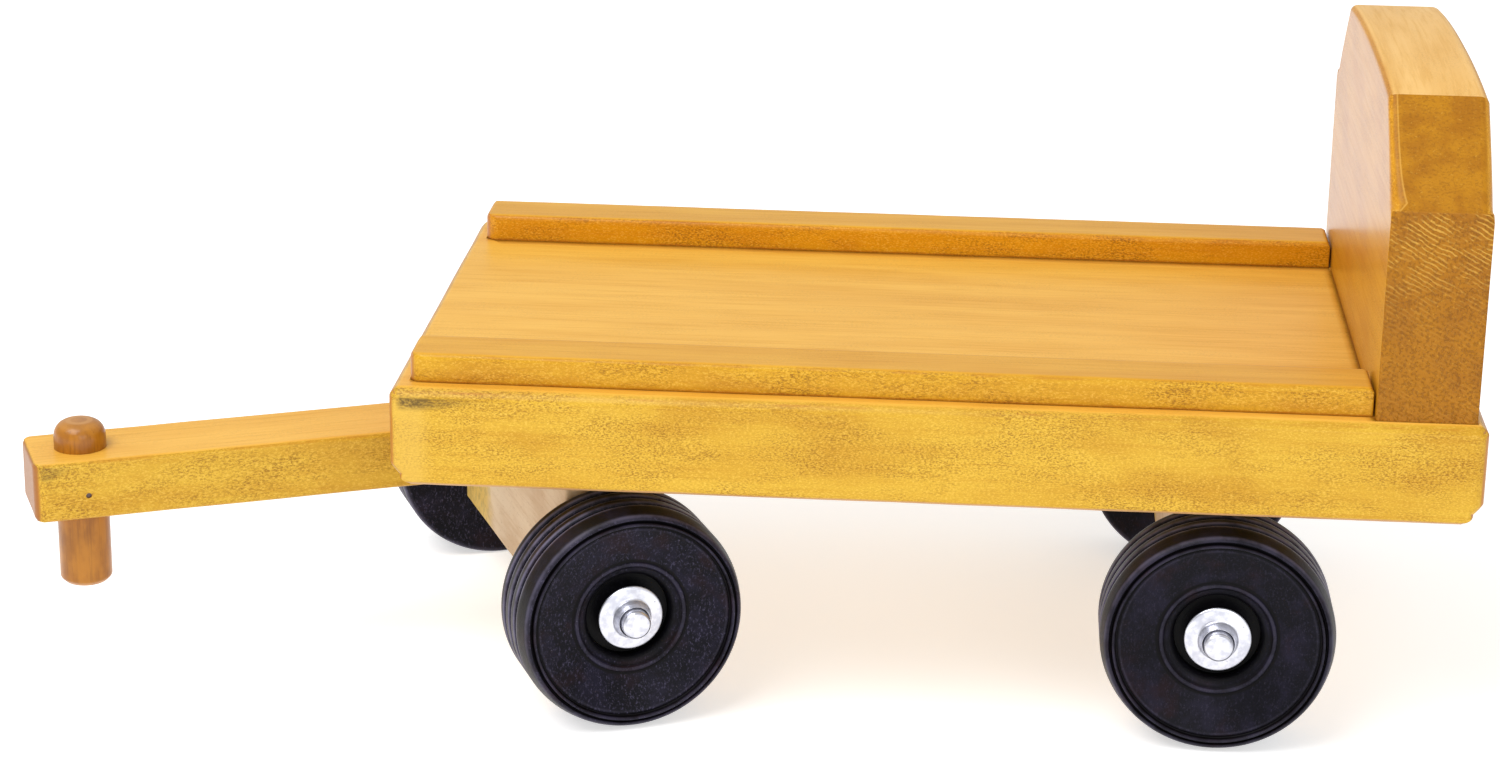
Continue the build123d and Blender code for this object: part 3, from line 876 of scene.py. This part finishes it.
def make_backboard(low, high):
    """Points and faces of the backboard, and a mark on the points where its inner ease ends.

    Its edges are barely eased where it is rough-sawn, and most eased at the foot of each facet, where the
    inner ease is also wider.
    """
    ease_cuts = 8
    middle_cuts = 12
    rim = 0.5 * mm
    past_ease = 0.35 * mm
    foot_width = 1.1
    foot_reach = 4 * mm
    flat = np.array(backboard_outline(low, high))
    count = len(flat)
    before, after = np.roll(flat, 1, axis=0), np.roll(flat, -1, axis=0)
    before[0] = flat[0] - (0, mm)
    after[-1] = flat[-1] - (0, mm)
    along = after - before
    along /= np.linalg.norm(along, axis=1)[:, None]
    inward = np.stack([-along[:, 1], along[:, 0]], axis=1)
    above = flat[:, 1] - facet_bottom
    deepest = 1 + 0.9 * np.exp(-np.abs(above - 2 * mm) / (5 * mm))
    sanded = np.clip(above / (2 * mm) + 0.6, 0.15, 1) * deepest
    spread = foot_width * np.exp(-np.maximum(above, 0) / foot_reach) * (above > 0)

    def row(x, inset, width=0.0):
        """Points at x all round, pulled in by inset, and moved along X by width at the facets' feet."""
        return [(x + width * spread[k], *(flat[k] + inward[k] * inset * sanded[k])) for k in range(count)]

    def eased_rows(face, direction, radius):
        """Rows from the flat face's rim, round its eased edge, to full height and just past it."""
        made = [row(face, radius + rim)]
        for angle in np.linspace(0, pi / 2, ease_cuts):
            width = radius * (1 - cos(angle))
            made.append(row(face + direction * width, radius * (1 - sin(angle)), max(direction, 0) * width))
        made.append(row(face + direction * (radius + past_ease), 0, max(direction, 0) * radius))
        return made

    rows = eased_rows(low[0], 1, inner_ease)
    crest_row = len(rows) - 2
    for t in np.linspace(0, 1, middle_cuts)[1:-1]:
        x = low[0] + inner_ease + t * (high[0] - outer_ease - low[0] - inner_ease)
        rows.append(row(x, 0, inner_ease * (1 - t)))
    rows += list(reversed(eased_rows(high[0], -1, outer_ease)))
    points = [point for made in rows for point in made]
    faces = []
    for r in range(len(rows) - 1):
        for k in range(count - 1):
            a, b = r * count + k, r * count + k + 1
            faces.append((a, b, b + count, a + count))
    last = (len(rows) - 1) * count
    faces.append(tuple(reversed(range(count))))
    faces.append(tuple(range(last, last + count)))
    bottom = [r * count for r in range(len(rows))]
    faces.append(tuple(bottom + [r * count + count - 1 for r in reversed(range(len(rows)))]))
    crest = np.repeat(np.arange(len(rows)) == crest_row, count).astype(np.float32)
    return points, faces, crest


points, faces, crest = make_backboard(board_low, board_high)
# The crown is painted lighter where it faces up, as painted light
board_looks = {
    "top": crown_lit_peach,
    "side": backboard_amber,
    "end": backboard_end_brown,
    "grain_turn": pi / 2,
    "specks": 0.5,
    "stains": (foot_grime_and_shade(deck_top),),
    "saw": rough_sawn(facet_bottom),
}
backboard = make_piece(
    "sanded_backboard", points, faces, wagon_place, "wagon_body",
    ["backboard"], amber_wood("backboard_wood", 5, gloss=0.03, **board_looks), hard_angle=30,
)
backboard.data.attributes.new("crest", "FLOAT", "POINT").data.foreach_set("value", crest)
backboard.data.materials.append(amber_wood("backboard_face_wood", 5, gloss=0.5, **board_looks))
inner_face = -0.9
for face in backboard.data.polygons:
    face.material_index = int(face.normal.x < inner_face)

# ---------------------------------------------------------------- pull bar, peg and axle blocks

bar_edges = (
    ("xy", 0, 3.0 * mm, 1.9),
    ("xz", 0, 1.1 * mm, 1.8),
    ("yz", 0, 1.1 * mm, 1.8),
)
bar_wood = amber_wood(
    "pull_bar_wood", 8, end=bar_end_brown, stains=(
        smudge(bar_low[0] + 1.2 * mm, bar_high[2] - 0.8 * mm, 9 * mm, 3.2 * mm, 0.6),
    ),
)
board(
    "pull_bar", bar_low, bar_high, bar_edges, carriage_place, "front_carriage",
    "drawbar", bar_wood, 8, bored=True,
)

block_edges = (
    ("xy", 0, 0.7 * mm, 1.6),
    ("xz", 0, 0.8 * mm, 1.3),
    ("yz", 0, 0.8 * mm, 1.3),
)
for node, place, body, seed, yellow in (
    ("front_axle_block", carriage_place, "front_carriage", 3, 22 * mm),
    ("rear_axle_block", wagon_place, "wagon_body", 6, 30 * mm),
):
    low, high = extent(node, place)
    board(
        f"{node}_sanded", low, high, block_edges, place, body,
        node, bare_wood(f"{node}_wood", seed, yellow_beyond=yellow), seed, bored=True,
    )


def upright_place(point):
    """A frame at point whose X runs straight up, for pieces that are turned about X."""
    rotation = Matrix(((0, 0, -1), (0, 1, 0), (1, 0, 0))).to_4x4()
    return Matrix.Translation(point) @ rotation


peg_low, peg_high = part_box("hitch_peg")
peg_length = (peg_high.z - peg_low.z) / mm
peg_radius = (peg_high.x - peg_low.x) / 2 / mm
peg_foot_chamfer = 1.2
peg_outline = rounded([
    (0, 0, 0),
    (0, peg_radius - peg_foot_chamfer, 0.4),
    (peg_foot_chamfer, peg_radius, 0.5),
    (peg_length - 2.6, peg_radius, 1.6),
    (peg_length - 0.9, peg_radius - 1.0, 1.1),
    (peg_length - 0.15, peg_radius - 2.4, 0.5),
    (peg_length, 0, 0),
])
rod_turns = 96
points, faces = solid_lathe(peg_outline, rod_turns)
make_piece(
    "domed_hitch_peg", points, faces, upright_place(Vector((peg_place.x, peg_place.y, peg_low.z))),
    "front_carriage", ["hitch_peg"], dowel_wood("peg_wood"),
)

# ---------------------------------------------------------------- wheels, axles and push nuts

rear_low, rear_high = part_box("rear_left_wheel")
wheel_radius = (rear_high.z - rear_low.z) / 2 / mm
wheel_width = (rear_high.y - rear_low.y) / mm
wheel_bore_radius = 3.255
hub_recess_radius = 9.4
hub_recess_depth = 7.4
groove_places = (3.9, 8.1, 12.3)
groove_depth = 1.3
groove_half_width = 0.8
groove_floor_half_width = 0.4


def wheel_outline():
    """The wheel's section in metres, along the axle from its inner face and out from the axis."""
    corner_steps = 4
    corner_reach = 0.35 * mm
    w, r = wheel_width, wheel_radius
    bore = [(w - hub_recess_depth, wheel_bore_radius, 0.1), (0, wheel_bore_radius, 0.2)]
    inner_edge = [(0, r - 0.8, 0.4), (0.8, r, 0.6)]
    tread = []
    for place in groove_places:
        tread += [
            (place - groove_half_width, r, 0.6),
            (place - groove_floor_half_width, r - groove_depth, 0.3),
            (place + groove_floor_half_width, r - groove_depth, 0.3),
            (place + groove_half_width, r, 0.6),
        ]
    shoulder = [(w - 4.6, r, 1.2), (w - 1.2, r - 0.9, 1.0), (w - 0.55, r - 1.8, 0.3)]
    rim_groove = [(w - 1.4, r - 2.15, 0.3), (w - 0.9, r - 2.5, 0.25)]
    rim_lip = [(w - 0.05, r - 2.7, 0.2), (w - 0.25, r - 3.1, 0.25), (w - 1.4, r - 3.4, 0.3)]
    dished_disc = [(w - 1.15, r - 4.0, 0.4), (w - 2.6, 17.2, 2.5), (w - 4.0, 12.9, 0.5)]
    hub_ring = [(w - 3.6, 12.5, 0.25), (w - 3.6, 12.0, 0.25), (w - 4.3, 11.5, 0.5)]
    hub_recess = [
        (w - 4.9, 10.0, 0.7),
        (w - 5.8, hub_recess_radius, 0.4),
        (w - hub_recess_depth, hub_recess_radius, 0.2),
    ]
    rim = shoulder + rim_groove + rim_lip
    corners = bore + inner_edge + tread + rim + dished_disc + hub_ring + hub_recess
    return finer(rounded(corners, corner_steps), corner_reach)


def nut_outline(length):
    """The push nut's section in metres, from its hidden sleeve to the raised collar."""
    corner_steps = 4
    grip = 3.25
    sleeve = 5.2
    hidden_sleeve = [(0, grip, 0.1), (0, sleeve, 0.1), (length - 3.7, sleeve, 0.1)]
    dished_flange = [
        (length - 3.7, 7.2, 0.25),
        (length - 3.1, 7.28, 0.2),
        (length - 2.85, 6.9, 0.4),
        (length - 2.5, 4.3, 0.5),
    ]
    collar = [(length - 1.0, 3.75, 0.5), (length, 3.65, 0.15), (length, 3.5, 0.1)]
    mouth = [(length - 0.7, 3.35, 0.2), (length - 0.9, grip, 0.1)]
    return rounded(hidden_sleeve + dished_flange + collar + mouth, corner_steps)


def rod_outline(half, radius):
    """The axle rod's section in metres, chamfered at both ends."""
    corner_steps = 3
    chamfer = 0.5
    rounding = 0.15
    return rounded([
        (-half, 0, 0),
        (-half, radius - chamfer, rounding),
        (-half + chamfer, radius, rounding),
        (half - chamfer, radius, rounding),
        (half, radius - chamfer, rounding),
        (half, 0, 0),
    ], corner_steps)


def dress(node, material):
    """Gives a CAD node that is shown as it is a material of this scene."""
    materials = frame["nodes"][node].data.materials
    materials.clear()
    materials.append(material)


zinc = zinc_steel("zinc_steel")
fastener_steel = zinc_steel("fastener_steel", screw_grey, turned=False)
nylon = nylon_plastic("nylon")
wheel_turns = 160
nut_turns = 128
stand_reach = 0.7 * mm
# The rear wheels, in the deck's shade, get less grey on their faces: painted shade
front_dust_and_light, rear_dust_and_shade = 1.0, 0.3
wheel_section = wheel_outline()
wheel_points, wheel_faces = lathe(wheel_section, wheel_turns)
seed = 0
for end, rod_body, dust_and_shade in (("front", "front_carriage", front_dust_and_light), ("rear", "wagon_body", rear_dust_and_shade)):
    left, right = joints[f"{end}_left_wheel_spin"], joints[f"{end}_right_wheel_spin"]
    middle = (Vector(left["pos_m"]) + Vector(right["pos_m"])) / 2
    level_shift = Matrix.Translation((0, 0, middle.z))
    axle = level_shift @ axes_at(middle, left["axis"])
    rod_low, rod_high = extent(f"{end}_axle_rod", axle)
    half = (rod_high[0] - rod_low[0]) / 2 / mm
    points, faces = solid_lathe(rod_outline(half, (rod_high[2] - rod_low[2]) / 2 / mm), rod_turns)
    make_piece(
        f"{end}_steel_axle", points, faces, axle, rod_body,
        [f"{end}_axle_rod"], zinc, hard_angle=40,
    )
    for side, sign in (("left", 1), ("right", -1)):
        seed += 1
        outward = Vector(left["axis"]) * sign
        spin = level_shift @ axes_at(middle, outward)
        corner = f"{end}_{side}"
        low, high = extent(f"{corner}_wheel", spin)
        wheel = make_piece(
            f"{corner}_turned_wheel", wheel_points, wheel_faces, spin @ Matrix.Translation((low[0], 0, 0)),
            f"{corner}_wheel", [f"{corner}_wheel"],
            black_wood(f"{corner}_black", seed, dust_and_shade), hard_angle=50,
        )
        mark_profile(wheel, wheel_section, wheel_turns, stand_reach)
        low, high = extent(f"{corner}_push_nut", spin)
        points, faces = lathe(nut_outline((high[0] - low[0]) / mm), nut_turns)
        make_piece(
            f"{corner}_cap_nut", points, faces, spin @ Matrix.Translation((low[0], 0, 0)),
            rod_body, [f"{corner}_push_nut"], zinc, hard_angle=40,
        )
        dress(f"{corner}_washer", nylon)

for node in ("backboard_screws", "drawbar_screws", "kingpin_screw", "kingpin_washer", "steering_washer"):
    dress(node, fastener_steel)
dress("peg_brad", zinc_steel("rusted_brad", rust_brown, turned=False, plated=0.2))
dress("rear_block_dowels", bare_wood("dowel_wood", 9, 0.0))

# ---------------------------------------------------------------- floor, light and camera

floor_mesh = bpy.data.meshes.new("floor")
floor_half = 6.0
floor_corners = [(x * floor_half, y * floor_half, 0) for x, y in ((-1, -1), (1, -1), (1, 1), (-1, 1))]
floor_mesh.from_pydata(floor_corners, [], [(0, 1, 2, 3)])
floor = bpy.data.objects.new("floor", floor_mesh)
bpy.context.scene.collection.objects.link(floor)
paper = Nodes("white_paper")
tooth = paper.noise(paper.coordinates(), 0.8, 3)
floor_mesh.materials.append(add_output(paper, paper.add("ShaderNodeBsdfPrincipled", {
    "Base Color": paper.mix(tooth, floor_white, floor_grey),
    "Roughness": 0.9,
    "Specular IOR Level": 0.1,
    "Emission Color": (1, 1, 1, 1),
    "Emission Strength": 0.54,
})))

world = bpy.data.worlds.new("studio")
world.use_nodes = True
bpy.context.scene.world = world
background = world.node_tree.nodes["Background"]
background.inputs["Color"].default_value = (1, 1, 1, 1)
background.inputs["Strength"].default_value = 0.64


def softbox(name, location, target, size, power):
    """A rectangular area light at location that faces target."""
    light = bpy.data.lights.new(name, "AREA")
    light.shape = "RECTANGLE"
    light.size, light.size_y = size
    light.energy = power
    lamp = bpy.data.objects.new(name, light)
    bpy.context.scene.collection.objects.link(lamp)
    lamp.location = location
    lamp.rotation_euler = (Vector(target) - Vector(location)).to_track_quat("-Z", "Y").to_euler()


softbox("key_softbox", (-0.45, -0.55, 1.1), (0, 0, 0.05), (0.9, 0.7), 11)
softbox("fill_softbox", (0.5, -1.3, 0.5), (0, 0, 0.05), (0.8, 0.6), 4)

camera_data = bpy.data.cameras.new("camera")
camera_data.lens = 82.4355
camera = bpy.data.objects.new("camera", camera_data)
bpy.context.scene.collection.objects.link(camera)
camera.location = (0.0536, -0.74936, 0.31053)
camera.rotation_euler = (radians(71.6198), radians(-0.7566), radians(4.3519))
bpy.context.scene.camera = camera
bpy.context.scene.view_settings.view_transform = "Standard"
